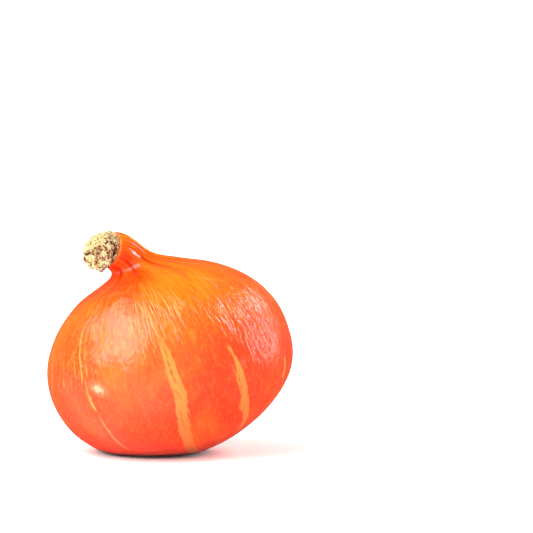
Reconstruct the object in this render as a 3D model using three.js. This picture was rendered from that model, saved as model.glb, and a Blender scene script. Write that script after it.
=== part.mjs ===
// A red kuri squash, the small onion-shaped kind of kabocha, as picked. The fruit is one body that narrows to a
// fluted neck, and the dry, corky stalk that held it on the vine stands on the neck's end. The squash leans the way
// it settles on a table, on a spot that grew flat against the ground.
//
// Millimetres, with +Z up. The table is z = 0, -Y is the front, and the origin lies on the flat spot, straight
// below the middle of the round body.

import * as THREE from "three";

const degrees = THREE.MathUtils.degToRad;
const { smoothstep, lerp } = THREE.MathUtils;

// The round body, measured along the fruit's own axis from the blossom end
const BODY_RADIUS = 80;
const BODY_HALF_HEIGHT = 64;
const SHOULDER_ANGLE = degrees(151); // the ellipse runs from the blossom end, 0, to here, and the flare takes over

// The flare and the neck
const NECK_START = 138;
const NECK_RADIUS = 13;
const NECK_END = 149;
const NECK_END_RADIUS = 11.8;
const SHOULDER_PULL = 18; // how far the flare goes on along the shoulder before it turns up
const NECK_PULL = 10.5; // how far it comes down the neck before it turns out

// The neck bends over: its curvature builds up over a stretch of the axis and then holds, through the stalk too
const BEND_START = 118;
const BEND_BUILD_UP = 14;
const BEND_RADIUS = 24;
const BEND_TOWARDS = degrees(216); // azimuth round the fruit's axis, 0 at +X and 90 at +Y

// How the fruit lies
const LEAN_LEFT = degrees(20);
const LEAN_FORWARD = degrees(5);
const FLAT_DEPTH = 5.5; // how much of the round underside the flat spot takes away
const FLAT_EDGE = 2.5; // half the height over which the flat spot rounds into the side

// Relief of the skin
const BULGE = 5.5; // the fuller side, low on the right
const BULGE_HEIGHT = -0.6; // as a share of the half height, from the widest place
const BULGE_SPREAD = 0.42;
const BULGE_GATHER = 2; // how closely it keeps to its side
const FOLDS = 10; // one for each main vein under the skin
const FOLD_DEPTH = 3;
const FOLDS_BEGIN = 112; // the folds deepen from here up the flare
const FOLDS_FULL = 131;
const FOLDS_CALM = 136; // and grow shallow again from here to the neck's end
const FOLD_CALMING = 0.55;
const FOLD_TWIST = 0.002; // in radians per millimetre
const LOBE_DEPTH = 0.8;
const LOBES_FULL = 105;
const UNEVENNESS = 0.45;
const POLE_CALM = 30; // the radius within which the relief dies away towards the blossom end
const RIDGE_MEAN = 2 / Math.PI; // the mean height of a ridge wave, taken off so that the relief goes in and out

// The blossom end: a corky button in a shallow dimple
const BUTTON_RADIUS = 5.5;
const BUTTON_HEIGHT = 2.2;
const DIMPLE_RADIUS = 17;
const DIMPLE_DEPTH = 2;

// The stalk
const STALK_GAP = 0.3;
const STALK_LENGTH = 13.5;
const STALK_RADIUS = 10.8;
const PITH_DEPTH = 0.92; // where the middle of the cut face lies, as a share of the length
const STALK_SAG = 5.2; // how far its end hangs to the inside of the bend
const CUT_SLOPE = 0.4; // the knife went through at a slant
const CUT_TOWARDS = BEND_TOWARDS + degrees(80); // the side that the cut face looks to, and where the stalk is short
const CORK_RIDGES = 9;
const CORK_RIDGE_DEPTH = 0.9;
const CORK_LUMP_DEPTH = 0.45;
const CORK_FREE = 3; // how far up the cork's relief is whole

const FRUIT_SIDES = 80;
const BODY_RINGS = 31;
const BODY_CROWDING = 1.35; // how much the body's rings crowd towards the blossom end, where the button is
const FLARE_RINGS = 11;
const STALK_SIDES = 54;
const STALK_RINGS = 24;

// How far the axis has turned from straight at a distance along it, in radians
function heading(along) {
  const past = Math.max(along - BEND_START, 0);
  const builtUp = Math.min(past, BEND_BUILD_UP);
  return (builtUp ** 2 / 2 / BEND_BUILD_UP + past - builtUp) / BEND_RADIUS;
}

// The frames of the bent axis at each of a rising list of distances: where it is, and its two cross directions.
// One of them points to the inside of the bend, and the other is square to the plane that the neck bends in.
function walkAxis(distances) {
  const up = new THREE.Vector3(0, 0, 1);
  const inward = new THREE.Vector3(Math.cos(BEND_TOWARDS), Math.sin(BEND_TOWARDS), 0);
  const sideways = new THREE.Vector3().crossVectors(up, inward);
  const centre = new THREE.Vector3(0, 0, Math.min(distances[0], BEND_START));
  let walked = centre.z;
  return distances.map((along) => {
    const steps = Math.max(1, Math.ceil(along - walked));
    const stride = (along - walked) / steps;
    for (let i = 0; i < steps; i++) {
      const turned = heading(walked + stride / 2);
      centre.addScaledVector(up, stride * Math.cos(turned));
      centre.addScaledVector(inward, stride * Math.sin(turned));
      walked += stride;
    }
    const turned = heading(along);
    const across = inward.clone().multiplyScalar(Math.cos(turned)).addScaledVector(up, -Math.sin(turned));
    return { centre: centre.clone(), across, sideways };
  });
}

// The fruit as it lies: leaned over, set on the table, and pressed flat where it would go below it
const lean = new THREE.Matrix4().makeRotationY(-LEAN_LEFT);
lean.multiply(new THREE.Matrix4().makeRotationX(LEAN_FORWARD));
const uprightness = Math.cos(LEAN_LEFT) * Math.cos(LEAN_FORWARD);
const CENTRE_HEIGHT =
  Math.hypot(BODY_RADIUS * Math.sin(Math.acos(uprightness)), BODY_HALF_HEIGHT * uprightness) - FLAT_DEPTH;

function layDown(point) {
  point.z -= BODY_HALF_HEIGHT;
  point.applyMatrix4(lean);
  point.z += CENTRE_HEIGHT;
  if (point.z < -FLAT_EDGE) point.z = 0;
  else if (point.z < FLAT_EDGE) point.z = (point.z + FLAT_EDGE) ** 2 / 4 / FLAT_EDGE;
  return point;
}

// A closed body with a ring of points round the axis at each station, and one point at either end. A station gives
// the distance along the axis and the radius, and relief and slip are added to them at each azimuth.
function loft(stations, sides, relief, slip = () => 0) {
  const frames = walkAxis(stations.map(([along]) => along));
  const rings = stations.map(([along, radius], i) => {
    const forward = new THREE.Vector3().crossVectors(frames[i].across, frames[i].sideways);
    return Array.from({ length: radius > 0 ? sides : 1 }, (_, j) => {
      const azimuth = (2 * Math.PI * j) / sides;
      const out = radius > 0 ? radius + relief(azimuth, along, radius) : 0;
      const point = frames[i].centre.clone();
      point.addScaledVector(frames[i].across, out * Math.cos(azimuth - BEND_TOWARDS));
      point.addScaledVector(frames[i].sideways, out * Math.sin(azimuth - BEND_TOWARDS));
      point.addScaledVector(forward, slip(azimuth, along, out));
      return layDown(point);
    });
  });
  const firsts = rings.map((_, i) => rings.slice(0, i).reduce((sum, ring) => sum + ring.length, 0));
  const faces = [];
  for (let i = 0; i < rings.length - 1; i++) {
    for (let j = 0; j < sides; j++) {
      const low = [j, j + 1].map((k) => firsts[i] + (k % rings[i].length));
      const high = [j, j + 1].map((k) => firsts[i + 1] + (k % rings[i + 1].length));
      if (rings[i].length > 1) faces.push(low[0], low[1], high[1]);
      if (rings[i + 1].length > 1) faces.push(low[0], high[1], high[0]);
    }
  }
  const geometry = new THREE.BufferGeometry().setFromPoints(rings.flat());
  geometry.setIndex(faces);
  geometry.computeVertexNormals();
  return geometry;
}

// Half the fruit's outline: the ellipse of the body, the flare as one Bezier curve, and the neck
function fruitStations() {
  const body = Array.from({ length: BODY_RINGS + 1 }, (_, i) => {
    const angle = SHOULDER_ANGLE * (i / BODY_RINGS) ** BODY_CROWDING;
    return [BODY_HALF_HEIGHT * (1 - Math.cos(angle)), BODY_RADIUS * Math.sin(angle)];
  });
  const shoulder = new THREE.Vector2(...body[BODY_RINGS]);
  const slope = new THREE.Vector2(
    BODY_HALF_HEIGHT * Math.sin(SHOULDER_ANGLE),
    BODY_RADIUS * Math.cos(SHOULDER_ANGLE),
  ).normalize();
  const flare = new THREE.CubicBezierCurve(
    shoulder,
    shoulder.clone().addScaledVector(slope, SHOULDER_PULL),
    new THREE.Vector2(NECK_START - NECK_PULL, NECK_RADIUS + 0.5),
    new THREE.Vector2(NECK_START, NECK_RADIUS),
  );
  const flareStations = flare.getPoints(FLARE_RINGS).slice(1).map((p) => [p.x, p.y]);
  const neck = [0.35, 0.7, 0.9, 1].map((share) => [
    lerp(NECK_START, NECK_END, share),
    lerp(NECK_RADIUS, NECK_END_RADIUS, share ** 2),
  ]);
  return [...body, ...flareStations, ...neck, [NECK_END, 0]];
}

// How far the skin stands out from the plain outline
function fruitRelief(azimuth, along, radius) {
  const height = along / BODY_HALF_HEIGHT - 1;
  const upTheSide = ((height - BULGE_HEIGHT) / BULGE_SPREAD) ** 2;
  const bulge = BULGE * Math.exp(BULGE_GATHER * (Math.cos(azimuth) - 1) - upTheSide);
  const swells = Math.sin(2 * azimuth + 0.9) * Math.cos(2.2 * height) + Math.sin(3 * azimuth + 3 * height + 2);

  // The folds are sharp valleys between round ridges, unevenly spaced and unevenly deep
  const drift = azimuth + 0.1 * Math.sin(2 * azimuth + 1) + 0.05 * Math.sin(3 * azimuth) + FOLD_TWIST * along;
  const ridge = Math.abs(Math.sin((FOLDS / 2) * drift)) - RIDGE_MEAN;
  const depth = FOLD_DEPTH * (0.7 + 0.3 * Math.sin(3 * azimuth + 2)) * Math.min(1, radius / 20);
  const calm = 1 - FOLD_CALMING * smoothstep(along, FOLDS_CALM, NECK_END);
  const onNeck = calm * smoothstep(along, FOLDS_BEGIN, FOLDS_FULL);
  const onBody = smoothstep(along, 0, LOBES_FULL) * (1 - smoothstep(along, LOBES_FULL, FOLDS_FULL));
  const awayFromPole = smoothstep(radius, 0, POLE_CALM);
  return bulge + awayFromPole * (UNEVENNESS * swells + LOBE_DEPTH * ridge * onBody) + depth * ridge * onNeck;
}

// How far the skin sits along the axis from the plain outline: the dimple goes in, and the button stands out of it
function blossomEnd(_azimuth, along, out) {
  if (along > BODY_HALF_HEIGHT) return 0;
  const dimple = DIMPLE_DEPTH * Math.exp(-((out / DIMPLE_RADIUS) ** 2));
  return dimple - BUTTON_HEIGHT / (1 + (out / BUTTON_RADIUS) ** 6);
}

// The stalk's outline, from the flange on the neck's end to the cut face, which is hollowed towards its pith
function stalkStations() {
  const outline = new THREE.SplineCurve(
    [
      [0, 0.98],
      [0.09, 1.07],
      [0.26, 1],
      [0.52, 1.05],
      [0.8, 1.01],
      [0.95, 0.88],
      [1, 0.68],
      [0.98, 0.42],
      [0.93, 0.18],
    ].map(([along, out]) => new THREE.Vector2(along * STALK_LENGTH, out * STALK_RADIUS)),
  );
  const start = NECK_END + STALK_GAP;
  const side = outline.getPoints(STALK_RINGS).map((p) => [start + p.x, p.y]);
  return [[start, 0], ...side, [start + PITH_DEPTH * STALK_LENGTH, 0]];
}

// Cork grows in lumps between long ridges. The flange's underside stays flat against the neck.
function corkRelief(azimuth, along, radius) {
  const up = along - NECK_END;
  const grip = smoothstep(up, STALK_GAP, CORK_FREE) * smoothstep(radius, 0, STALK_RADIUS);
  const ridges = Math.abs(Math.sin((CORK_RIDGES / 2) * azimuth + 0.06 * up)) - RIDGE_MEAN;
  const broad = Math.sin(5 * azimuth + 0.9 * up) * Math.sin(2 * azimuth + 0.75 * up);
  const small = Math.sin(11 * azimuth - 1.1 * up);
  const sag = STALK_SAG * stalkShare(along) ** 2 * Math.cos(azimuth - BEND_TOWARDS);
  return sag + grip * (CORK_RIDGE_DEPTH * ridges + CORK_LUMP_DEPTH * (broad + small));
}

function cutSlant(azimuth, along, out) {
  return -CUT_SLOPE * out * stalkShare(along) ** 2 * Math.cos(azimuth - CUT_TOWARDS);
}

// How much of the stalk's length lies below a distance along the axis
function stalkShare(along) {
  return Math.max(along - NECK_END - STALK_GAP, 0) / STALK_LENGTH;
}

const skin = new THREE.MeshStandardMaterial({ color: "#f2622a", roughness: 0.36, metalness: 0 });
const cork = new THREE.MeshStandardMaterial({ color: "#dccb9c", roughness: 0.9, metalness: 0 });

const fruit = new THREE.Mesh(loft(fruitStations(), FRUIT_SIDES, fruitRelief, blossomEnd), skin);
fruit.name = "fruit";

const stalk = new THREE.Mesh(loft(stalkStations(), STALK_SIDES, corkRelief, cutSlant), cork);
stalk.name = "stalk";

const squash = new THREE.Group();
squash.add(fruit, stalk);

export default squash;
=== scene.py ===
# %% [markdown]
# # A red kuri squash on a white table
#
# A red kuri is a small, onion-shaped kabocha. Its rind is thin, waxy and orange-red, with about ten pale
# stripes that follow the veins underneath from the neck to the blossom end. The neck is drawn into folds
# and bends over, and a dry, corky stub of stalk stands on its end.
#
# Such a fruit could be sculpted by hand, but then its size would drift away from the solid model. Here it
# is grown from the same numbers as the solids: an outline is turned round an axis that bends at the neck,
# and every ring of it is pushed in and out by a few waves. The solids are only in the way of light and
# measure, so the dressed pieces stand in for them.

import math

import bpy
import numpy as np
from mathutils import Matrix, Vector, noise


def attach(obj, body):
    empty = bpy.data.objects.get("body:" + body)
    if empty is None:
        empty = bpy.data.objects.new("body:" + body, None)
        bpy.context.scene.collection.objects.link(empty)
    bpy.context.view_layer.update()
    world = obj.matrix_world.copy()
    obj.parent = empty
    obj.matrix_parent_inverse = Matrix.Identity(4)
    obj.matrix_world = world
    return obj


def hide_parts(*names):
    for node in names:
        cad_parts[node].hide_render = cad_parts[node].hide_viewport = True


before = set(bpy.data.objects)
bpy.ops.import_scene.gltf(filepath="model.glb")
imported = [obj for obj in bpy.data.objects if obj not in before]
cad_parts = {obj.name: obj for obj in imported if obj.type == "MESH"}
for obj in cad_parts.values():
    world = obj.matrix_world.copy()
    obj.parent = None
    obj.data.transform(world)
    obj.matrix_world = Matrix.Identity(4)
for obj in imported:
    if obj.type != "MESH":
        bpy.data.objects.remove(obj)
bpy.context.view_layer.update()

# %% [markdown]
# ## The camera
#
# The squash was photographed from about its own height, with a long lens from well back, which keeps it
# free of distortion. It lies low and to the left in the picture. A camera can be turned until it looks
# right, but it is steadier to work it out: the size of a pixel at the squash follows from the lens and the
# distance, and the camera then moves sideways and up until the middle of the fruit falls on its pixel.

# %% Place the camera
PICTURE_SIDE = 533  # px
FRUIT_AT = (168, 359)  # px, from the left and from the top
FRUIT_CENTRE = Vector((0, 0, 0.0607))
LENS = 120  # mm, on a sensor 36 mm wide
SENSOR = 36
DISTANCE = 1.167  # m
LOOKING_DOWN = math.radians(1)

camera_data = bpy.data.cameras.new("long_lens")
camera_data.lens = LENS
camera_data.sensor_width = SENSOR
camera = bpy.data.objects.new("camera", camera_data)
camera.rotation_euler = (math.pi / 2 - LOOKING_DOWN, 0, 0)
ahead = Vector((0, math.cos(LOOKING_DOWN), -math.sin(LOOKING_DOWN)))
upward = Vector((0, math.sin(LOOKING_DOWN), math.cos(LOOKING_DOWN)))
pixel = DISTANCE * SENSOR / LENS / PICTURE_SIDE
right_by = (PICTURE_SIDE / 2 - FRUIT_AT[0]) * pixel
up_by = (FRUIT_AT[1] - PICTURE_SIDE / 2) * pixel
camera.location = FRUIT_CENTRE + Vector((right_by, 0, 0)) + upward * up_by - ahead * DISTANCE
bpy.context.scene.collection.objects.link(camera)
bpy.context.scene.camera = camera
print("a pixel is", round(pixel * 1000, 3), "mm at the squash")

# %% [markdown]
# ## The bent axis
#
# The fruit is round about an axis that runs straight up from the blossom end and bends over in the neck.
# Blender could bend a straight mesh with a Simple Deform modifier, but its bend starts and stops at once.
# Here the curvature builds up over a stretch and then holds, so the axis is walked in small steps, as a
# draughtsman lays off a transition curve. The lengths are millimetres, as in the solid model, and turn into
# metres at the very end.

# %% Walk the axis
NECK_END = 149
BEND_START = 118
BEND_BUILD_UP = 14
BEND_RADIUS = 24
BEND_TOWARDS = math.radians(216)
STEP = 0.25

UP = np.array([0.0, 0.0, 1.0])
INWARD = np.array([math.cos(BEND_TOWARDS), math.sin(BEND_TOWARDS), 0.0])
SIDEWAYS = np.cross(UP, INWARD)


def heading(along):
    past = np.maximum(along - BEND_START, 0)
    built_up = np.minimum(past, BEND_BUILD_UP)
    return (built_up**2 / 2 / BEND_BUILD_UP + past - built_up) / BEND_RADIUS


def turned(along):
    angle = heading(along)[..., None]
    forward = np.cos(angle) * UP + np.sin(angle) * INWARD
    across = np.cos(angle) * INWARD - np.sin(angle) * UP
    return forward, across


walked = np.arange(0, 180, STEP)
strides = STEP * turned(walked + STEP / 2)[0]
way = np.vstack([np.zeros(3), np.cumsum(strides, axis=0)])
walked = np.append(walked, walked[-1] + STEP)


def axis_at(along):
    return np.stack([np.interp(along, walked, way[:, k]) for k in range(3)], axis=-1)


print("the neck's end leans over by", round(math.degrees(float(heading(NECK_END)))), "degrees")

# %% [markdown]
# ## How it lies
#
# A squash that ripens on the ground grows a flat spot, and on a table it leans over onto it. The whole
# fruit is leaned to the left and a little to the front, lowered until the round underside would go a few
# millimetres into the table, and what would go in is pressed flat with a soft edge.

# %% Lean the fruit and press its flat spot
BODY_RADIUS = 80
BODY_HALF_HEIGHT = 64
LEAN_LEFT = math.radians(20)
LEAN_FORWARD = math.radians(5)
FLAT_DEPTH = 5.5
FLAT_EDGE = 2.5

cl, sl = math.cos(LEAN_LEFT), math.sin(LEAN_LEFT)
cf, sf = math.cos(LEAN_FORWARD), math.sin(LEAN_FORWARD)
to_left = np.array([[cl, 0, -sl], [0, 1, 0], [sl, 0, cl]])
to_front = np.array([[1, 0, 0], [0, cf, -sf], [0, sf, cf]])
LEAN = to_left @ to_front
upright = cl * cf
reach_down = math.hypot(BODY_RADIUS * math.sin(math.acos(upright)), BODY_HALF_HEIGHT * upright)
CENTRE_HEIGHT = reach_down - FLAT_DEPTH


def lay_down(points):
    laid = (points - [0, 0, BODY_HALF_HEIGHT]) @ LEAN.T + [0, 0, CENTRE_HEIGHT]
    z = laid[..., 2]
    soft = (z + FLAT_EDGE) ** 2 / 4 / FLAT_EDGE
    laid[..., 2] = np.where(z < -FLAT_EDGE, 0, np.where(z < FLAT_EDGE, soft, z))
    return laid


print("the middle of the body is", round(CENTRE_HEIGHT, 1), "mm above the table")

# %% [markdown]
# ## From an outline to a mesh
#
# Both pieces are lofts: a ring of points round the axis at each station of an outline, and quads between
# the rings. A curve with a bevel would give rings too, but not rings that change shape from one to the
# next. Blender's Spin tool can't follow a bent axis. Plain arrays of points do both, and they let each
# vertex remember where it was on the straight, unbent fruit, which the rind's pattern needs later.

# %% Loft rings into a mesh
def smoothstep(x, low, high):
    t = np.clip((x - low) / (high - low), 0, 1)
    return t * t * (3 - 2 * t)


def loft(outline, sides, relief, slip):
    """Points in mm on a grid of rings, and each one's azimuth, distance along the axis and plain radius."""
    azimuth = np.arange(sides) / sides * 2 * math.pi
    azimuth, along = np.meshgrid(azimuth, outline[:, 0])
    radius = np.repeat(outline[:, 1:2], sides, axis=1)
    out = (radius + relief(azimuth, along, radius))[..., None]
    forward, across = turned(along)
    turn = (azimuth - BEND_TOWARDS)[..., None]
    points = axis_at(along) + out * (np.cos(turn) * across + np.sin(turn) * SIDEWAYS)
    points = points + slip(azimuth, along, out[..., 0])[..., None] * forward
    return lay_down(points), azimuth, along, radius


def skin_over(name, grid, attributes):
    """A closed mesh over a grid of rings, with the first and last ring drawn together to a point."""
    rings, sides, _ = grid.shape
    inner = grid[1:-1].reshape(-1, 3)
    ends = np.array([grid[0].mean(axis=0), grid[-1].mean(axis=0)])
    first, last = len(inner), len(inner) + 1
    number = np.arange(len(inner)).reshape(rings - 2, sides)
    after = np.roll(number, -1, axis=1)
    quads = np.stack([number[:-1], after[:-1], after[1:], number[1:]], axis=-1).reshape(-1, 4)
    faces = quads.tolist()
    faces += [[first, b, a] for a, b in zip(number[0].tolist(), after[0].tolist())]
    faces += [[a, b, last] for a, b in zip(number[-1].tolist(), after[-1].tolist())]
    mesh = bpy.data.meshes.new(name)
    mesh.from_pydata((np.vstack([inner, ends]) / 1000).tolist(), [], faces)
    mesh.shade_smooth()
    for key, values in attributes.items():
        tips = [values[k].mean(axis=0).reshape(1, -1) for k in (0, -1)]
        flat = np.vstack([values[1:-1].reshape(len(inner), -1), *tips])
        kind, field = ("FLOAT_VECTOR", "vector") if flat.shape[1] == 3 else ("FLOAT", "value")
        layer = mesh.attributes.new(key, kind, "POINT")
        layer.data.foreach_set(field, flat.astype(np.float32).ravel())
    piece = bpy.data.objects.new(name, mesh)
    bpy.context.scene.collection.objects.link(piece)
    print(name, "has", len(mesh.polygons), "faces")
    return piece


# %% [markdown]
# ## The fruit's outline
#
# Half the outline is an ellipse from the blossom end up to the shoulder, then one Bezier curve that flares
# up into the neck, then the neck itself. At the neck's end the skin rolls over a rounded lip and goes in
# flat under the stalk. The stations are spaced evenly along the curve, a bit over a millimetre apart, so
# the waves that follow are drawn fully.

# %% Draw half the fruit's outline
SHOULDER_ANGLE = math.radians(151)
NECK_START = 138
NECK_RADIUS = 13
NECK_END_RADIUS = 11.8
SHOULDER_PULL = 18
NECK_PULL = 10.5
LIP = 0.9  # mm, the radius of the rolled edge round the stalk
FRUIT_SIDES = 400
FRUIT_RINGS = 230


def bezier(points, t):
    a, b, c, d = (np.array(p, float) for p in points)
    t = t[:, None]
    return (1 - t) ** 3 * a + 3 * (1 - t) ** 2 * t * b + 3 * (1 - t) * t**2 * c + t**3 * d


angle = np.linspace(0, SHOULDER_ANGLE, 400)
body = np.stack([BODY_HALF_HEIGHT * (1 - np.cos(angle)), BODY_RADIUS * np.sin(angle)], axis=1)
slope = np.array([BODY_HALF_HEIGHT * math.sin(SHOULDER_ANGLE), BODY_RADIUS * math.cos(SHOULDER_ANGLE)])
slope = slope / np.hypot(*slope)
handles = [body[-1] + slope * SHOULDER_PULL, (NECK_START - NECK_PULL, NECK_RADIUS + 0.5)]
flare = bezier([body[-1], *handles, (NECK_START, NECK_RADIUS)], np.linspace(0, 1, 200))
share = np.linspace(0, 1, 60)
neck_up = NECK_START + (NECK_END - LIP - NECK_START) * share
neck = np.stack([neck_up, NECK_RADIUS + (NECK_END_RADIUS - NECK_RADIUS) * share**2], axis=1)
roll = np.linspace(0, math.pi / 2, 12)
lip = np.stack([NECK_END - LIP + LIP * np.sin(roll), NECK_END_RADIUS - LIP + LIP * np.cos(roll)], axis=1)
whole = np.vstack([body, flare[1:], neck[1:], lip[1:], [[NECK_END, 0]]])
length = np.append(0, np.cumsum(np.hypot(*np.diff(whole, axis=0).T)))
even = np.linspace(0, length[-1], FRUIT_RINGS)
fruit_outline = np.stack([np.interp(even, length, whole[:, k]) for k in range(2)], axis=1)
print("the outline is", round(length[-1]), "mm long, with a ring each", round(even[1], 2), "mm")

# %% [markdown]
# ## The fruit's relief
#
# Four things shape the skin: a fuller side low on the right, slow swells that keep it from looking turned
# on a lathe, faint lobes between the veins, and deep folds where they gather in the neck. A fold is a sharp
# valley between round ridges, and the absolute value of a sine wave has just that section. Over all this lie
# finer ribs on the neck and soft dents. The dents come from Blender's own noise, and so they are the same
# on every run.

# %% Push the skin in and out
BULGE = 5.5
BULGE_HEIGHT = -0.6
BULGE_SPREAD = 0.42
BULGE_GATHER = 2
FOLDS = 10
FOLD_DEPTH = 3  # mm, as every depth and height here
FOLDS_BEGIN = 112
FOLDS_FULL = 131
FOLDS_CALM = 136
FOLD_CALMING = 0.55
FOLD_TWIST = 0.002
LOBE_DEPTH = 0.8
LOBES_FULL = 105
UNEVENNESS = 0.45
POLE_CALM = 30
RIDGE_MEAN = 2 / math.pi
DENT_DEPTH = 0.4  # mm
DENT_SIZE = 17  # mm
RIBS = 17
RIB_DEPTH = 0.18


def ridge_wave(azimuth, along, folds):
    """Round ridges with sharp valleys between them, which two slow waves keep from being evenly spaced."""
    drift = azimuth + 0.1 * np.sin(2 * azimuth + 1) + 0.05 * np.sin(3 * azimuth) + FOLD_TWIST * along
    return np.abs(np.sin(folds / 2 * drift)) - RIDGE_MEAN


def on_neck(along):
    calm = 1 - FOLD_CALMING * smoothstep(along, FOLDS_CALM, NECK_END)
    return calm * smoothstep(along, FOLDS_BEGIN, FOLDS_FULL)


def dents(azimuth, along, radius, size):
    places = np.stack([radius * np.cos(azimuth), radius * np.sin(azimuth), along], axis=-1) / size
    return np.array([noise.noise(p) for p in places.reshape(-1, 3).tolist()]).reshape(azimuth.shape)


def fruit_relief(azimuth, along, radius):
    height = along / BODY_HALF_HEIGHT - 1
    up_the_side = ((height - BULGE_HEIGHT) / BULGE_SPREAD) ** 2
    bulge = BULGE * np.exp(BULGE_GATHER * (np.cos(azimuth) - 1) - up_the_side)
    swells = np.sin(2 * azimuth + 0.9) * np.cos(2.2 * height) + np.sin(3 * azimuth + 3 * height + 2)
    ridge = ridge_wave(azimuth, along, FOLDS)
    depth = FOLD_DEPTH * (0.7 + 0.3 * np.sin(3 * azimuth + 2)) * np.minimum(1, radius / 20)
    on_body = smoothstep(along, 0, LOBES_FULL) * (1 - smoothstep(along, LOBES_FULL, FOLDS_FULL))
    away_from_pole = smoothstep(radius, 0, POLE_CALM)
    ribs = RIB_DEPTH * ridge_wave(azimuth, along, RIBS) * on_neck(along) * np.minimum(1, radius / 10)
    soft = DENT_DEPTH * dents(azimuth, along, radius, DENT_SIZE) * away_from_pole
    body_waves = away_from_pole * (UNEVENNESS * swells + LOBE_DEPTH * ridge * on_body)
    return bulge + body_waves + depth * ridge * on_neck(along) + ribs + soft


BUTTON_RADIUS = 5.5
BUTTON_HEIGHT = 2.2
DIMPLE_RADIUS = 17
DIMPLE_DEPTH = 2


def blossom_end(azimuth, along, out):
    dimple = DIMPLE_DEPTH * np.exp(-((out / DIMPLE_RADIUS) ** 2))
    button = BUTTON_HEIGHT / (1 + (out / BUTTON_RADIUS) ** 6)
    return np.where(along > BODY_HALF_HEIGHT, 0, dimple - button)


grid, azimuth, along, radius = loft(fruit_outline, FRUIT_SIDES, fruit_relief, blossom_end)
print("the fruit is", np.round(np.ptp(grid.reshape(-1, 3), axis=0), 1), "mm")

# %% [markdown]
# ## Where the stripes run
#
# The stripes are pale because the rind over the veins never greened and coloured like the rest. They start
# thin under the shoulder, broaden towards the blossom end, wander a little and break up. Each strand below
# is one stroke of paint: the azimuth and the distance along the axis where it starts and where it ends, and
# its width at both. They could be painted as a texture, but a strand that is described by two numbers on
# each vertex stays sharp at any distance: how far the vertex is from the nearest strand's middle, and how
# wide that strand is there. The rind's material turns the two into a ragged edge.

# %% Measure each vertex against the stripes
STRANDS = [
    # azimuth, along, then the same at the lower end, in degrees and mm, and the two widths in mm
    (273.4, 102, 273.2, 92, 1.2, 1.6),
    (274.6, 86, 275.4, 74, 1.2, 2.4),
    (275.8, 76, 275.6, 52, 2.2, 2.8),
    (273.2, 82, 272.2, 50, 1.6, 3.4),
    (273.5, 54, 270.6, 30, 6.6, 7.6),
    (270.8, 32, 265.5, 7, 7.6, 6.6),
    (299.5, 94, 301.8, 82, 1.2, 1.5),
    (303.1, 68, 304.8, 47, 2.0, 3.8),
    (304.8, 49, 305.6, 28, 3.8, 6.6),
    (305.6, 30, 311.0, 12, 6.6, 4.0),
    (301.0, 56, 302.4, 42, 0.9, 1.6),
    (232.2, 76, 233.2, 60, 1.2, 1.8),
    (233.2, 51, 231.6, 29, 1.5, 2.8),
    (228.6, 106, 230.4, 80, 1.1, 1.7),
    (232.4, 102, 233.6, 80, 0.9, 1.3),
    (224.8, 96, 226.2, 80, 0.8, 1.2),
    (215.6, 92, 216.4, 78, 1.0, 1.4),
    (202.0, 98, 201.4, 66, 1.0, 1.6),
    (201.4, 60, 200.0, 20, 1.2, 2.4),
    (337.8, 40, 337.4, 34, 2.2, 3.0),
    (338.5, 96, 338.0, 60, 0.7, 1.2),
    (14.0, 88, 16.0, 52, 1.0, 3.2),
    (16.2, 47, 17.0, 14, 3.0, 5.4),
    (51.0, 98, 49.6, 60, 1.4, 4.4),
    (49.6, 62, 47.0, 8, 4.4, 6.6),
    (54.2, 72, 53.6, 54, 0.8, 1.3),
    (88.5, 76, 89.5, 44, 0.9, 2.8),
    (90.0, 36, 90.6, 13, 2.8, 4.2),
    (124.5, 94, 126.0, 50, 2.0, 5.2),
    (126.0, 52, 127.6, 9, 5.2, 7.4),
    (163.0, 70, 161.4, 40, 0.8, 2.4),
    (160.8, 32, 160.0, 14, 2.6, 3.8),
]
TIP = 7  # mm over which a strand tapers to nothing
WANDER = math.radians(0.35)

from_strand = np.full(azimuth.shape, 99.0)
strand_width = np.zeros(azimuth.shape)
for turn_a, along_a, turn_b, along_b, width_a, width_b in STRANDS:
    down = np.clip((along_a - along) / (along_a - along_b), 0, 1)
    middle = np.radians(turn_a + (turn_b - turn_a) * down) + WANDER * np.sin(along / 6)
    off = np.abs((azimuth - middle + math.pi) % (2 * math.pi) - math.pi) * radius
    beyond = np.maximum(np.maximum(along - along_a, along_b - along), 0)
    wide = (width_a + (width_b - width_a) * down) * (1 - smoothstep(beyond, 0, TIP))
    nearer = off - wide / 2 < from_strand - strand_width / 2
    from_strand = np.where(nearer, off, from_strand)
    strand_width = np.where(nearer, wide, strand_width)
covered = float((from_strand < strand_width / 2).mean())
print(len(STRANDS), "strands cover", round(covered * 100, 1), "% of the rind")

# %% [markdown]
# ## Riper and wrinkled spots
#
# A squash colours unevenly: yellower on the shoulder that saw the sun, redder in the shade and on the neck.
# Its rind also shrinks a little as it dries, and wrinkles more in some places than in others. Noise alone
# could do both, but then they would fall anywhere. Here each is a short list of soft round spots, placed as
# on the real fruit, and the material's noise breaks them up. Nobody can see the back from the front, so its
# spots are made up in the same manner.

# %% Place the soft spots
RIPER = [
    # azimuth in degrees, along and reach in mm, and how much yellower (or, below 0, redder) it is
    (293, 108, 34, 0.5),
    (314, 116, 24, 0.6),
    (348, 149, 28, 0.9),
    (258, 121, 28, -1.0),
    (257, 92, 26, 0.5),
    (222, 84, 34, -0.9),
    (304, 77, 24, -0.5),
    (287, 30, 42, -0.65),
    (335, 45, 42, -0.6),
    (36, 104, 42, 0.5),
    (80, 30, 40, -0.5),
    (120, 66, 45, -0.4),
    (168, 108, 36, 0.45),
]
WRINKLED = [
    # the same, and how much it is wrinkled
    (322, 82, 30, 1.2),
    (322, 108, 20, 0.7),
    (284, 94, 27, 1.0),
    (20, 60, 30, 0.8),
    (140, 88, 34, 0.9),
    (205, 50, 24, 0.5),
]


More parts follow.
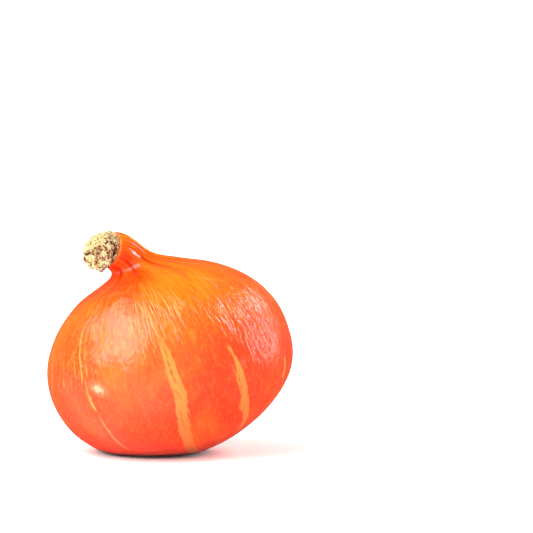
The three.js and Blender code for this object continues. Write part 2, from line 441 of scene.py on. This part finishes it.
def soft_spots(spots):
    """The sum of soft round spots: each has an azimuth, a distance along, a reach in mm and an amount."""
    total = np.zeros(azimuth.shape)
    for spot_azimuth, spot_along, reach, amount in spots:
        turned_by = azimuth - math.radians(spot_azimuth)
        round_to = 2 * BODY_RADIUS * np.sin(turned_by / 2)
        total += amount * np.exp(-(round_to**2 + (along - spot_along) ** 2) / reach**2)
    return total


ripeness = soft_spots(RIPER)
wrinkled = soft_spots(WRINKLED)
print("ripeness runs from", round(float(ripeness.min()), 2), "to", round(float(ripeness.max()), 2))

# %% [markdown]
# ## The fruit's mesh
#
# Each vertex also keeps its place on the straight fruit as a vector, "grain": round the axis on a circle as
# wide as the body, and along it. A pattern that is read from it runs down the meridians, draws together in
# the neck, bends over with it, and has no seam, because a circle has none. Three more numbers say how deep
# in a fold a vertex lies, and whether it belongs to the lip or to the blossom end's button.

# %% Make the fruit
RIB_SHADE = 0.65  # how dark the furrow between two ribs gets, against a fold
EDGE_FROM, EDGE_FULL = 1.6, 0.3  # mm short of the neck's end, where the lip grows paler
BROWN_FULL, BROWN_TO = 4.5, 8  # mm from the blossom end, where the button's brown ends

grain = np.stack([BODY_RADIUS * np.cos(azimuth), BODY_RADIUS * np.sin(azimuth), along], axis=-1)
deep = np.maximum(-ridge_wave(azimuth, along, FOLDS), -RIB_SHADE * ridge_wave(azimuth, along, RIBS))
fold = deep / RIDGE_MEAN * on_neck(along)
edge = smoothstep(along, NECK_END - EDGE_FROM, NECK_END - EDGE_FULL)
button = np.where(along < BODY_HALF_HEIGHT, 1 - smoothstep(radius, BROWN_FULL, BROWN_TO), 0)
kept = {"grain": grain, "from_strand": from_strand, "strand_width": strand_width, "fold": fold}
kept.update({"edge": edge, "button": button, "ripeness": ripeness, "wrinkled": wrinkled})
fruit = skin_over("squash_fruit", grid, kept)

# %% [markdown]
# ## Colours and nodes
#
# Colours are picked in sRGB, as a screen shows them, and Blender reckons in linear light, so one function
# turns the one into the other. Another small function adds a node, sets it up and links its inputs, which
# keeps a material's listing as short as its recipe. Two kinds of node need a word. A Map Range turns a
# pattern's low and high value into two others, and SOFT makes it ease in and out. A MixRGB lays one colour
# over another, with just the three inputs that this takes, where the newer Mix node has one set of inputs
# for each type of value.

# %% Helpers for the materials
def linear(hex_colour):
    channels = [int(hex_colour[i : i + 2], 16) / 255 for i in (1, 3, 5)]
    return [c / 12.92 if c <= 0.04045 else ((c + 0.055) / 1.055) ** 2.4 for c in channels] + [1.0]


def add(tree, kind, *values, out=0, **named):
    """Adds a node. Values go into its inputs in order, and names are its settings or the names of inputs."""
    node = tree.nodes.new("ShaderNode" + kind)
    wanted = dict(enumerate(values))
    for name, value in named.items():
        if hasattr(node, name):
            setattr(node, name, value)
        else:
            wanted[name.replace("_", " ")] = value
    for socket, value in wanted.items():
        if isinstance(value, bpy.types.NodeSocket):
            tree.links.new(value, node.inputs[socket])
        else:
            node.inputs[socket].default_value = value
    return node.outputs[out] if node.outputs else node


SOFT = {"interpolation_type": "SMOOTHSTEP"}


def new_material(name):
    material = bpy.data.materials.new(name)
    material.use_nodes = True
    material.node_tree.nodes.clear()
    return material, material.node_tree


def tinted(tree, colour, over, most, pattern, low=None, high=None):
    """Another colour laid over one, at most so thick, where a pattern is 1 or rises from low to high."""
    if low is not None:
        pattern = add(tree, "MapRange", pattern, low, high, **SOFT)
    amount = add(tree, "Math", pattern, most, operation="MULTIPLY")
    return add(tree, "MixRGB", amount, colour, linear(over))


print("a middling orange in linear light:", [round(c, 3) for c in linear("#f65f1a")[:3]])


# %% [markdown]
# ## Waxy rind
#
# The rind is a living skin of tiny cells under a thin natural wax. It is coloured through and slightly
# see-through, so light that goes in comes out warmer, and the wax gives it a satin shine with soft, wide
# highlights. Plant wax has an index of about 1.44.
#
# The colour goes from a pinkish red at the blossom end through orange to yellow-orange on the shoulder, and
# turns deep red on the neck. It could be painted, or mixed from noise alone, but the change follows the
# axis, so a ramp along the axis gives it. The soft spots then make it yellower or redder.

# %% Mix the waxy rind's ground colours
rind, tree = new_material("waxy_orange_rind")
grain_at = add(tree, "Attribute", attribute_name="grain", out="Vector")
height = add(tree, "SeparateXYZ", grain_at, out=2)


def grain_noise(tree, around, lengthwise, detail=2.0, roughness=0.5, distortion=0.0):
    """Noise in patches so many mm wide round the fruit and so many mm long down it."""
    scale = (1 / around, 1 / around, 1 / lengthwise)
    scaled = add(tree, "VectorMath", grain_at, scale, operation="MULTIPLY")
    settings = {"Detail": detail, "Roughness": roughness, "Distortion": distortion}
    return add(tree, "TexNoise", scaled, Scale=1.0, **settings)


colour = add(tree, "ValToRGB", add(tree, "Math", height, float(NECK_END), operation="DIVIDE"))
ramp = colour.node.color_ramp
ramp.interpolation = "B_SPLINE"
RIND_COLOURS = [
    (0.0, "#f43822"),
    (0.2, "#f5452a"),
    (0.42, "#f55225"),
    (0.62, "#f65f1a"),
    (0.76, "#f66d0a"),
    (0.84, "#f54205"),
    (0.9, "#f53404"),
    (0.96, "#f52c04"),
    (1.0, "#f5480a"),
]
while len(ramp.elements) < len(RIND_COLOURS):
    ramp.elements.new(0.5)
for stop, (up_the_axis, hex_colour) in zip(ramp.elements, RIND_COLOURS):
    stop.position, stop.color = up_the_axis, linear(hex_colour)

ripe = add(tree, "Attribute", attribute_name="ripeness", out="Fac")
colour = tinted(tree, colour, "#f98410", 0.7, ripe, 0.0, 1.0)
unripe = add(tree, "MapRange", ripe, -0.8, 0.0, 1.0, 0.0, **SOFT)
colour = tinted(tree, colour, "#f42c08", 0.6, unripe)
print("the ramp has", len(ramp.elements), "colours from the blossom end to the neck")

# %% [markdown]
# A ramp alone looks like a ramp, so five noises break it up, each at a size that the real rind shows:
# patches of 2 to 3 cm, streaks 3 to 6 mm wide and drawn out along the grain, and blotches of 2 mm. The pale
# streaks and the blotches are strongest on the shoulder, where the rind ripened last.

# %% Break the ground colours up
# Wide patches where the rind ripened to a yellower orange, and others where it is redder
wide_patch = grain_noise(tree, 26, 34, detail=3)
colour = tinted(tree, colour, "#f87e10", 0.35, wide_patch, 0.48, 0.75)
red_patch = grain_noise(tree, 19, 30, detail=3, distortion=0.4)
colour = tinted(tree, colour, "#f23e0a", 0.4, red_patch, 0.5, 0.75)

# Streaks drawn out along the grain, each a few millimetres wide, and small blotches between them
streak = grain_noise(tree, 3.4, 11, detail=4, roughness=0.65)
streaked = add(tree, "MapRange", height, 40.0, 95.0, 0.08, 0.32, **SOFT)
colour = tinted(tree, colour, "#f8962a", streaked, streak, 0.5, 0.68)
dark_streak = grain_noise(tree, 5.6, 12, detail=4, roughness=0.65)
colour = tinted(tree, colour, "#ee3c06", 0.35, dark_streak, 0.5, 0.66)
blotch = grain_noise(tree, 1.7, 2.6, detail=3, roughness=0.6)
blotchy = add(tree, "MapRange", height, 55.0, 100.0, 0.14, 0.28, **SOFT)
colour = tinted(tree, colour, "#f99a30", blotchy, blotch, 0.5, 0.68)
print("ground colours mixed and broken up with", len(tree.nodes), "nodes")

# %% [markdown]
# The stripes come next. Each vertex knows how far it is from a strand's middle and how wide the strand is
# there, so the edge is where the one passes half of the other. Noise in millimetres is added to the first
# of the two, which frays the edge, and breaks a strand up where it is thin. Fine streaks of rind show
# through a wide one.

# %% Paint the stripes
FRAY = 2.1  # mm, how far the fine noise moves an edge in or out
SWAY = 1.3  # mm, how far the coarse noise does

from_middle = add(tree, "Attribute", attribute_name="from_strand", out="Fac")
width_here = add(tree, "Attribute", attribute_name="strand_width", out="Fac")
ragged = add(tree, "MapRange", grain_noise(tree, 1.8, 4.5, detail=4, roughness=0.7), 0.0, 1.0, -FRAY, FRAY)
swaying = add(tree, "MapRange", grain_noise(tree, 9, 16, detail=1), 0.0, 1.0, -SWAY, SWAY)
wobble = add(tree, "Math", ragged, swaying, operation="ADD")
calmed = add(tree, "MapRange", width_here, 0.8, 4.0, 0.35, 1.0, **SOFT)
wobbled = add(tree, "Math", wobble, calmed, from_middle, operation="MULTIPLY_ADD")
half_width = add(tree, "Math", width_here, 0.5, operation="MULTIPLY")
inside = add(tree, "Math", half_width, wobbled, operation="SUBTRACT")
painted = add(tree, "MapRange", inside, -0.25, 0.35, **SOFT)
thick_enough = add(tree, "MapRange", width_here, 0.0, 1.8, **SOFT)
stripe = add(tree, "Math", painted, thick_enough, operation="MULTIPLY")
stripe_colour = tinted(tree, linear("#ee7838"), "#ee8c3c", 1.0, height, 20.0, 60.0)
inner = grain_noise(tree, 1.9, 12, detail=3, roughness=0.6)
covered = add(tree, "MapRange", inner, 0.5, 0.66, 0.95, 0.47, **SOFT)
covered = add(tree, "Math", stripe, covered, operation="MULTIPLY")
colour = add(tree, "MixRGB", covered, colour, stripe_colour)
print("stripes painted; the rind has", len(tree.nodes), "nodes so far")

# %% [markdown]
# The folds of the neck are painted a deeper red towards their valleys, with a dark crease at the very
# bottom: both are painted shade, where little light gets in. Their ridges get a faint painted highlight.
# The lip round the stalk is paler, because the cork has chafed it. The dry button at the blossom end is
# brown. The rind's lowest few millimetres, just above the table, are painted nearly black and made dull:
# this is a painted contact shadow, and it shows as a dark band under the fruit.

# %% Colour the folds and the ends, and paint the shadow under the fruit
# Painted contact shadow: the rind's lowest few millimetres are painted nearly black and made dull
SHADE_DARK_TO, SHADE_CLEAR_FROM = 0.0012, 0.0042  # m above the table, where the resting spot's colour ends

in_fold = add(tree, "Attribute", attribute_name="fold", out="Fac")
# Painted shade: redder towards the bottom of each fold, and a dark crease in it
colour = tinted(tree, colour, "#de2804", 0.7, in_fold, -0.1, 0.9)
colour = tinted(tree, colour, "#7e1804", 0.85, in_fold, 0.62, 0.96)
# A faint painted highlight along the top of each fold's ridge
painted_crest_highlight = add(tree, "MapRange", in_fold, -0.55, -0.25, 1.0, 0.0, **SOFT)
colour = tinted(tree, colour, "#ff9a62", 0.15, painted_crest_highlight)
on_edge = add(tree, "Attribute", attribute_name="edge", out="Fac")
colour = tinted(tree, colour, "#f08a3c", 0.4, on_edge)
on_button = add(tree, "Attribute", attribute_name="button", out="Fac")
colour = tinted(tree, colour, "#6b4426", 1.0, on_button)

# The painted contact shadow is darkest right at the table and gone a few millimetres above it
place = add(tree, "TexCoord", out="Object")
off_ground = add(tree, "SeparateXYZ", place, out=2)
painted_contact_shade = add(tree, "MapRange", off_ground, SHADE_DARK_TO, SHADE_CLEAR_FROM, 1.0, 0.0, **SOFT)
colour = tinted(tree, colour, "#2a0c08", 0.92, painted_contact_shade)
print("the resting spot's dark band is", round(SHADE_CLEAR_FROM * 1000, 1), "mm high")

# %% [markdown]
# A pale scar, where something rubbed the young rind, sits on the left of the front. It is a slanting oval,
# with an edge that noise frays, and a faint halo of paler rind round it. How far a point is along and
# across the oval is the dot product of the way to it with two directions in the skin. A third product keeps
# the far side of the fruit, which lies along the same two directions, out of it.

# %% Add the scar
SCAR = (238.5, 70.5)  # azimuth in degrees, along in mm
SCAR_SIZE = (4.2, 2.2)  # mm, half its length and width
SCAR_SLANT = math.radians(-36)
SCAR_REACH = 10  # mm into the fruit and out of it, over which the oval still counts

scar_turn = math.radians(SCAR[0])
scar_place = Vector((BODY_RADIUS * math.cos(scar_turn), BODY_RADIUS * math.sin(scar_turn), SCAR[1]))
sideways = Vector((-math.sin(scar_turn), math.cos(scar_turn), 0))
lengthways = sideways * math.cos(SCAR_SLANT) + Vector((0, 0, 1)) * math.sin(SCAR_SLANT)
crossways = Vector((0, 0, 1)) * math.cos(SCAR_SLANT) - sideways * math.sin(SCAR_SLANT)
to_scar = add(tree, "VectorMath", grain_at, scar_place, operation="SUBTRACT")
through = sideways.cross(Vector((0, 0, 1)))
far_off = 0.0
for direction in (lengthways / SCAR_SIZE[0], crossways / SCAR_SIZE[1], through / SCAR_REACH):
    part = add(tree, "VectorMath", to_scar, direction, operation="DOT_PRODUCT", out="Value")
    far_off = add(tree, "Math", part, part, far_off, operation="MULTIPLY_ADD")
far_off = add(tree, "Math", far_off, operation="SQRT")
fray = add(tree, "MapRange", grain_noise(tree, 1.5, 1.5, detail=3), 0.0, 1.0, -0.95, 0.95)
frayed = add(tree, "Math", far_off, fray, operation="ADD")
scar = add(tree, "MapRange", frayed, 0.7, 1.15, 1.0, 0.0, **SOFT)
halo = add(tree, "MapRange", frayed, 0.8, 2.6, 1.0, 0.0, **SOFT)
colour = tinted(tree, colour, "#fb9a72", 0.3, halo)
colour = tinted(tree, colour, "#dcae84", 0.75, scar)
print("the scar is", 2 * SCAR_SIZE[0], "by", 2 * SCAR_SIZE[1], "mm, before it is frayed")

# %% [markdown]
# The wax shows the relief of the skin more than its colour does. Soft dents of about a centimetre bend the
# highlights, pits of 3 mm dimple them, and where the rind is wrinkled, short ridges about 4 mm apart and
# drawn out along the grain break them into streaks. The real pits and ridges are down to half a millimetre,
# which is finer than a pixel here, so they are drawn as coarse as they need to be to show. All are far too
# shallow for real geometry, so bump nodes tilt the normals instead, one on top of the other. The neck is
# smoother and shinier than the body. The shine itself is uneven too, from 0.14 to 0.3, because wax rubs
# off.

# %% Add the relief and the shine
DENTS_UP, WRINKLES_UP, PITS_UP = 0.001, 0.00042, 0.0006  # m
BODY_TO, NECK_FROM = 108.0, 126.0  # mm along, where the body's wax gives way to the neck's

wavy = grain_noise(tree, 3.6, 15, detail=2, roughness=0.55, distortion=0.3)
from_crest = add(tree, "Math", add(tree, "Math", wavy, 0.5, operation="SUBTRACT"), operation="ABSOLUTE")
ridges_up = add(tree, "MapRange", from_crest, 0.0, 0.25, 1.0, 0.0)
pits = add(tree, "TexNoise", place, Scale=320.0, Detail=2.0, Roughness=0.5)
dents_in = add(tree, "TexNoise", place, Scale=95.0, Detail=1.0, Roughness=0.5)

body_only = add(tree, "MapRange", height, BODY_TO, NECK_FROM, 1.0, 0.0, **SOFT)
wrinkled_here = add(tree, "Attribute", attribute_name="wrinkled", out="Fac")
ridged = add(tree, "Math", wrinkled_here, 0.15, operation="ADD")
ridged = add(tree, "Math", ridged, body_only, operation="MULTIPLY")
ridges_up = add(tree, "Math", ridges_up, ridged, operation="MULTIPLY")
pitted = add(tree, "Math", wrinkled_here, 0.2, 0.5, operation="MULTIPLY_ADD")
pitted = add(tree, "Math", pitted, body_only, 0.1, operation="MULTIPLY_ADD")
pits = add(tree, "Math", pits, pitted, operation="MULTIPLY")

normal = add(tree, "Bump", Strength=1.0, Distance=DENTS_UP, Height=dents_in)
normal = add(tree, "Bump", Strength=1.0, Distance=WRINKLES_UP, Height=ridges_up, Normal=normal)
normal = add(tree, "Bump", Strength=1.0, Distance=PITS_UP, Height=pits, Normal=normal)

dull = add(tree, "MapRange", grain_noise(tree, 7, 16, detail=3), 0.0, 1.0, 0.07, 0.23)
dry = add(tree, "Math", scar, on_button, operation="MAXIMUM")
for where, duller in ((body_only, 0.07), (dry, 0.3), (painted_contact_shade, 0.5)):
    dull = add(tree, "Math", where, duller, dull, operation="MULTIPLY_ADD")

# Light goes about 3 mm into the flesh, red the furthest
see_through = {"Subsurface_Weight": 0.1, "Subsurface_Radius": (1.0, 0.35, 0.1), "Subsurface_Scale": 0.003}
surface = add(tree, "BsdfPrincipled", colour, Roughness=dull, IOR=1.44, Normal=normal, **see_through)
add(tree, "OutputMaterial", surface)
fruit.data.materials.append(rind)
print("rind:", len(tree.nodes), "nodes")

# %% [markdown]
# ## The stalk
#
# A kuri's stalk turns to cork as the fruit ripens. It is soft, dry and cracked, swells where it grips the
# neck, and was cut off at a slant a good centimetre above it. The same loft gives its form, from an outline
# that is drawn as a smooth curve through a few knots. It sags to the lower side, and shallow ridges and
# lumps run over it, as in the solid.

# %% Shape the stalk
STALK_GAP = 0.3
STALK_LENGTH = 13.5
STALK_RADIUS = 10.8
PITH_DEPTH = 0.92
STALK_SAG = 5.2
CUT_SLOPE = 0.4
CUT_TOWARDS = BEND_TOWARDS + math.radians(80)
CORK_RIDGES = 9
CORK_RIDGE_DEPTH = 0.9
CORK_LUMP_DEPTH = 0.45
CORK_FREE = 3
STALK_SIDES = 380
STALK_RINGS = 220
STALK_OUTLINE = [
    # how far up the stalk, and how wide, as shares of its length and radius
    (0, 0.98),
    (0.09, 1.07),
    (0.26, 1),
    (0.52, 1.05),
    (0.8, 1.01),
    (0.95, 0.88),
    (1, 0.68),
    (0.98, 0.42),
    (0.93, 0.18),
]


def catmull_rom(knots, count):
    knots = np.array(knots, float)
    ends = np.vstack([2 * knots[0] - knots[1], knots, 2 * knots[-1] - knots[-2]])
    pieces = []
    for i in range(len(knots) - 1):
        p0, p1, p2, p3 = ends[i : i + 4]
        t = np.linspace(0, 1, count, endpoint=False)[:, None]
        bend = (2 * p0 - 5 * p1 + 4 * p2 - p3) * t**2 + (3 * p1 - p0 - 3 * p2 + p3) * t**3
        pieces.append(0.5 * (2 * p1 + (p2 - p0) * t + bend))
    return np.vstack([*pieces, knots[-1:]])


side = catmull_rom(STALK_OUTLINE, 30) * [STALK_LENGTH, STALK_RADIUS] + [NECK_END + STALK_GAP, 0]
start = NECK_END + STALK_GAP
whole = np.vstack([[[start, 0]], side, [[start + PITH_DEPTH * STALK_LENGTH, 0]]])
length = np.append(0, np.cumsum(np.hypot(*np.diff(whole, axis=0).T)))
even = np.linspace(0, length[-1], STALK_RINGS)
stalk_outline = np.stack([np.interp(even, length, whole[:, k]) for k in range(2)], axis=1)


def up_the_stalk(along):
    return np.maximum(along - start, 0) / STALK_LENGTH


def cork_relief(azimuth, along, radius):
    up = along - NECK_END
    grip = smoothstep(up, STALK_GAP, CORK_FREE) * smoothstep(radius, 0, STALK_RADIUS)
    ridges = np.abs(np.sin(CORK_RIDGES / 2 * azimuth + 0.06 * up)) - RIDGE_MEAN
    broad = np.sin(5 * azimuth + 0.9 * up) * np.sin(2 * azimuth + 0.75 * up)
    small = np.sin(11 * azimuth - 1.1 * up)
    sag = STALK_SAG * up_the_stalk(along) ** 2 * np.cos(azimuth - BEND_TOWARDS)
    return sag + grip * (CORK_RIDGE_DEPTH * ridges + CORK_LUMP_DEPTH * (broad + small))


def cut_slant(azimuth, along, out):
    return -CUT_SLOPE * out * up_the_stalk(along) ** 2 * np.cos(azimuth - CUT_TOWARDS)


cork_grid, azimuth, along, radius = loft(stalk_outline, STALK_SIDES, cork_relief, cut_slant)
print("before it is cracked, the stalk is", np.round(np.ptp(cork_grid.reshape(-1, 3), axis=0), 1), "mm")

# %% [markdown]
# Noise gives the cork its surface: lumps first, then cracks and holes that go in only, then grit. Straight
# from the noise the cracks would be smooth worms, so the points are stirred by another noise before they
# are looked up. A displacement in the material could do all this, but real geometry casts real shadows in
# the pits, and it is kept in the exported model. Each point moves along its normal, which comes from the
# two directions that run through it on the grid. The cork is broken open most on the side that faces the
# lower front, and in the material that side is painted browner as painted shade. How deep a vertex lies and
# how much it belongs to that side are kept, to colour it by.

# %% Crack and pit the cork
round_it = np.roll(cork_grid, -1, axis=1) - np.roll(cork_grid, 1, axis=1)
up_it = np.gradient(cork_grid, axis=0)
outwards = np.cross(round_it, up_it)
outwards /= np.maximum(np.linalg.norm(outwards, axis=-1, keepdims=True), 1e-9)

LUMP_SIZE = 3.2  # mm
LUMP_DEPTH = 0.55
CRACK_SIZE = 1.9
CRACK_DEPTH = 0.9
GRIT_SIZE = 0.8
GRIT_DEPTH = 0.2
STIR = 1.6  # mm, how far and how finely the cracks are led astray
WORN_SHADED_SIZE = 4.0
WORN_SHADED_TOWARDS = math.radians(240)
WORN_SHADED_HEIGHT = 0.55  # of the stalk's length


def noise_over(points, size, offset):
    values = [noise.noise(Vector(p) / size + offset) for p in points.reshape(-1, 3).tolist()]
    return np.array(values).reshape(points.shape[:2])


lumps = noise_over(cork_grid, LUMP_SIZE, Vector((3.1, 0, 0)))
stirring = [noise_over(cork_grid, STIR, Vector((0, 0, 2.3 * k))) for k in range(3)]
stirred = cork_grid + STIR * np.stack(stirring, axis=-1)
creased = np.abs(noise_over(stirred, CRACK_SIZE, Vector((0, 7.7, 0))))
crack = 1 - smoothstep(creased, 0.02, 0.17)
hole = smoothstep(noise_over(stirred, CRACK_SIZE * 0.7, Vector((0, 0, 5.5))), 0.18, 0.45)
grit = noise_over(stirred, GRIT_SIZE, Vector((9, 9, 0)))
free = smoothstep(along - NECK_END, STALK_GAP, 1.6)[..., None]
# The side that faces the lower front gets deeper holes, and the material paints it browner as painted shade
to_front = 0.6 * np.cos(azimuth - WORN_SHADED_TOWARDS) - 0.7 * (up_the_stalk(along) - WORN_SHADED_HEIGHT)
worn_and_shaded = smoothstep(noise_over(cork_grid, WORN_SHADED_SIZE, Vector((4, 0, 8))) + to_front, -0.3, 0.12)
pit = np.maximum(crack * (0.5 + 0.4 * worn_and_shaded), hole * (0.3 + 0.7 * worn_and_shaded))
move = LUMP_DEPTH * lumps - CRACK_DEPTH * pit + GRIT_DEPTH * grit
cork_grid = cork_grid + outwards * (move[..., None] * free)
stalk = skin_over("squash_stalk", cork_grid, {"pit": pit * free[..., 0], "worn_and_shaded": worn_and_shaded})
print("the stalk is", np.round(np.ptp(cork_grid.reshape(-1, 3), axis=0), 1), "mm")

# %% [markdown]
# ## Dry cork
#
# Cork is dead cell walls full of air. It has no shine at all and a roughness near 1. Its sound skin is pale
# cream. The side that faces the lower front is painted reddish brown as painted shade, and the pits are
# painted dark brown, partly the cork's own colour and partly painted shade. What each vertex remembers
# mixes the three, and noise between 1 and 4 mm keeps any of them from being flat.

# %% Mix the dry cork
cork, tree = new_material("dry_cream_cork")
place = add(tree, "TexCoord", out="Object")
pit_brown_and_shade = add(tree, "Attribute", attribute_name="pit", out="Fac")
wear_and_shade_here = add(tree, "Attribute", attribute_name="worn_and_shaded", out="Fac")
patch = add(tree, "TexNoise", place, Scale=260.0, Detail=3.0, Roughness=0.6)
speck = add(tree, "TexNoise", place, Scale=950.0, Detail=3.0, Roughness=0.65)
colour = tinted(tree, linear("#e6d8a4"), "#d4ba7c", 1.0, patch, 0.38, 0.62)
# Painted shade: the side that faces the lower front is painted reddish brown
painted_shade_brown = add(tree, "MapRange", patch, 0.32, 0.54, **SOFT)
painted_shade_brown = add(tree, "Math", painted_shade_brown, wear_and_shade_here, operation="MULTIPLY")
colour = tinted(tree, colour, "#b88264", 0.75, painted_shade_brown)
colour = tinted(tree, colour, "#9c7442", 0.45, speck, 0.5, 0.62)
# The pits are painted dark brown: partly the cork's own colour, partly painted shade
colour = tinted(tree, colour, "#4e2c1a", 1.0, pit_brown_and_shade, 0.1, 0.6)
grain_up = add(tree, "Bump", Strength=1.0, Distance=0.0006, Height=speck)
matt = {"Roughness": 0.92, "IOR": 1.45, "Specular_IOR_Level": 0.25}
add(tree, "OutputMaterial", add(tree, "BsdfPrincipled", colour, Normal=grain_up, **matt))
stalk.data.materials.append(cork)
print("cork:", len(tree.nodes), "nodes")

# %% [markdown]
# ## Tie the pieces to the solids
#
# Both pieces move with the one body that the squash has and stand in for the solid of the same part. The
# slot of the part's record that goes with each is printed.

# %% Tie them
for piece, node, slot in ((fruit, "fruit", "skin"), (stalk, "stalk", "cork")):
    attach(piece, "root")
    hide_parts(node)
    print(piece.name, "stands in for", node, "and takes its finish from", slot)

# %% [markdown]
# ## Table and light
#
# The squash lies on white, in white. A photographer does that with a cove: a sheet of white paper that lies
# on the table and curves up behind it, so that no edge shows, with lights of its own for the part behind.
# Here the paper is a wide bowl, so that the squash can be walked round, and the part behind glows by
# itself, more the further back it is. A plane and a white sky would be simpler, but a sky that is white all
# round washes the rind's colour out.
#
# White paper all round would also show in the wax as a broad pale rim, which the real one doesn't have: a
# photographer holds black cards up just out of view to keep it off. Here the paper simply isn't seen by
# glossy light. The table is also given painted light: it glows a little from a few centimetres away from
# the squash, and is left dark right under the fruit, where the shadow should stay.

# %% Lay the cove
COVE_MIDDLE = 0.4  # m, the radius of the one flat face under the squash
COVE_FLAT = 1.5  # m from the middle, where the paper starts to rise
COVE_CURVE = 0.9  # m, the radius of its curve
COVE_HEIGHT = 1.6
COVE_SIDES = 96
GLOW_FROM, GLOW_TO = 0.1, 0.9  # m behind the squash
PAINTED_GLOW_FROM, PAINTED_GLOW_TO = 0.055, 0.15  # m from the middle of the squash
PAINTED_GLOW = 0.26

quarter = np.linspace(0, math.pi / 2, 20)
profile = [(COVE_MIDDLE, 0.0)]
profile += [(COVE_FLAT + COVE_CURVE * math.sin(t), COVE_CURVE * (1 - math.cos(t))) for t in quarter]
profile += [(COVE_FLAT + COVE_CURVE, COVE_HEIGHT)]
around = [2 * math.pi * i / COVE_SIDES for i in range(COVE_SIDES)]
points = [(r * math.cos(a), r * math.sin(a), z) for r, z in profile for a in around]
number = np.arange(len(points)).reshape(len(profile), COVE_SIDES)
after = np.roll(number, -1, axis=1)
sheets = np.stack([number[:-1], number[1:], after[1:], after[:-1]], axis=-1).reshape(-1, 4).tolist()
cove_mesh = bpy.data.meshes.new("cove")
cove_mesh.from_pydata(points, [], [number[0].tolist(), *sheets])
cove_mesh.shade_smooth()
cove = bpy.data.objects.new("cove", cove_mesh)
bpy.context.scene.collection.objects.link(cove)
cove.visible_glossy = False
print("the cove is", 2 * (COVE_FLAT + COVE_CURVE), "m across and", COVE_HEIGHT, "m high")

# %% [markdown]
# The paper is matt, so a plain diffuse shader does. Two soft steps make it glow: one by how far back it is,
# and one by how far it is from the squash, which is painted light on the table.

# %% Make the white paper
paper, tree = new_material("white_paper")
here = add(tree, "TexCoord", out="Object")
behind = add(tree, "SeparateXYZ", here, out=1)
from_squash = add(tree, "VectorMath", here, operation="LENGTH", out="Value")
# Painted light: the table glows round the squash, but not right under it
painted_floor_glow = add(tree, "MapRange", from_squash, PAINTED_GLOW_FROM, PAINTED_GLOW_TO, 0.0, PAINTED_GLOW, **SOFT)
glow = add(tree, "MapRange", behind, GLOW_FROM, GLOW_TO, **SOFT)
glow = add(tree, "Math", glow, painted_floor_glow, operation="MAXIMUM")
matt_white = add(tree, "BsdfDiffuse", linear("#f8f7f6"))
lit = add(tree, "Emission", linear("#ffffff"), glow)
add(tree, "OutputMaterial", add(tree, "AddShader", matt_white, lit))
cove_mesh.materials.append(paper)
print("paper:", len(tree.nodes), "nodes")

# %% [markdown]
# ## Soft lights
#
# Four soft lights do the rest. A wide one at the front left gives the broad, pale sheen, and a smaller one
# higher up on the left carries it round. A tall, narrow one on the right draws the brighter streaks near
# that edge, and a small one above it lights the ridges of the neck. Where the sheen of each would fall was
# reckoned first, by turning the line of sight about the normals of the rind.

# %% Hang the lights
def soft_light(name, place, size, power):
    data = bpy.data.lights.new(name, "AREA")
    data.shape, data.size, data.size_y, data.energy = "RECTANGLE", *size, power
    light = bpy.data.objects.new(name, data)
    light.location = place
    light.rotation_euler = (FRUIT_CENTRE - light.location).to_track_quat("-Z", "Y").to_euler()
    bpy.context.scene.collection.objects.link(light)
    away = (FRUIT_CENTRE - light.location).length
    print(name, "hangs", round(away, 2), "m from the squash and gives", power, "W")


soft_light("wide_front_left", Vector((-0.8, -0.64, 0.81)), (1.02, 1.14), 25)
soft_light("high_left", Vector((-0.9, 0.08, 1.0)), (0.6, 0.6), 4.6)
soft_light("tall_right", Vector((1.09, 0.27, 0.42)), (0.28, 0.85), 7)
soft_light("high_right", Vector((0.9, 0.46, 0.9)), (0.44, 0.46), 7.6)

# %% [markdown]
# The room itself is nearly dark. The white table in front of the squash should still be mirrored in the
# lower half of its wax, where it makes the red a little pinker, but the paper is hidden from glossy light.
# So the room is made bright below the horizon, in front and to the left, but not straight down, where the
# squash shades the table. Only mirrored light gets to see that part, since all other light stops at the
# paper.

# %% Dim the room
ROOM_GLOW = 0.1

world = bpy.data.worlds.new("white_room")
world.use_nodes = True
tree = world.node_tree
background = tree.nodes["Background"]
background.inputs["Color"].default_value = linear("#ffffff")
towards = add(tree, "TexCoord", out="Generated")
rightward, backward, skyward = add(tree, "SeparateXYZ", towards).node.outputs
strength = add(tree, "MapRange", skyward, -0.95, -0.82, **SOFT)
for direction, full, none in ((skyward, -0.12, 0.08), (rightward, -0.1, 0.45), (backward, 0.2, 0.7)):
    there = add(tree, "MapRange", direction, full, none, 1.0, 0.0, **SOFT)
    strength = add(tree, "Math", strength, there, operation="MULTIPLY")
strength = add(tree, "Math", strength, ROOM_GLOW, operation="ADD")
tree.links.new(strength, background.inputs["Strength"])
bpy.context.scene.world = world
bpy.context.scene.view_settings.view_transform = "Standard"
print("room:", len(tree.nodes), "nodes")
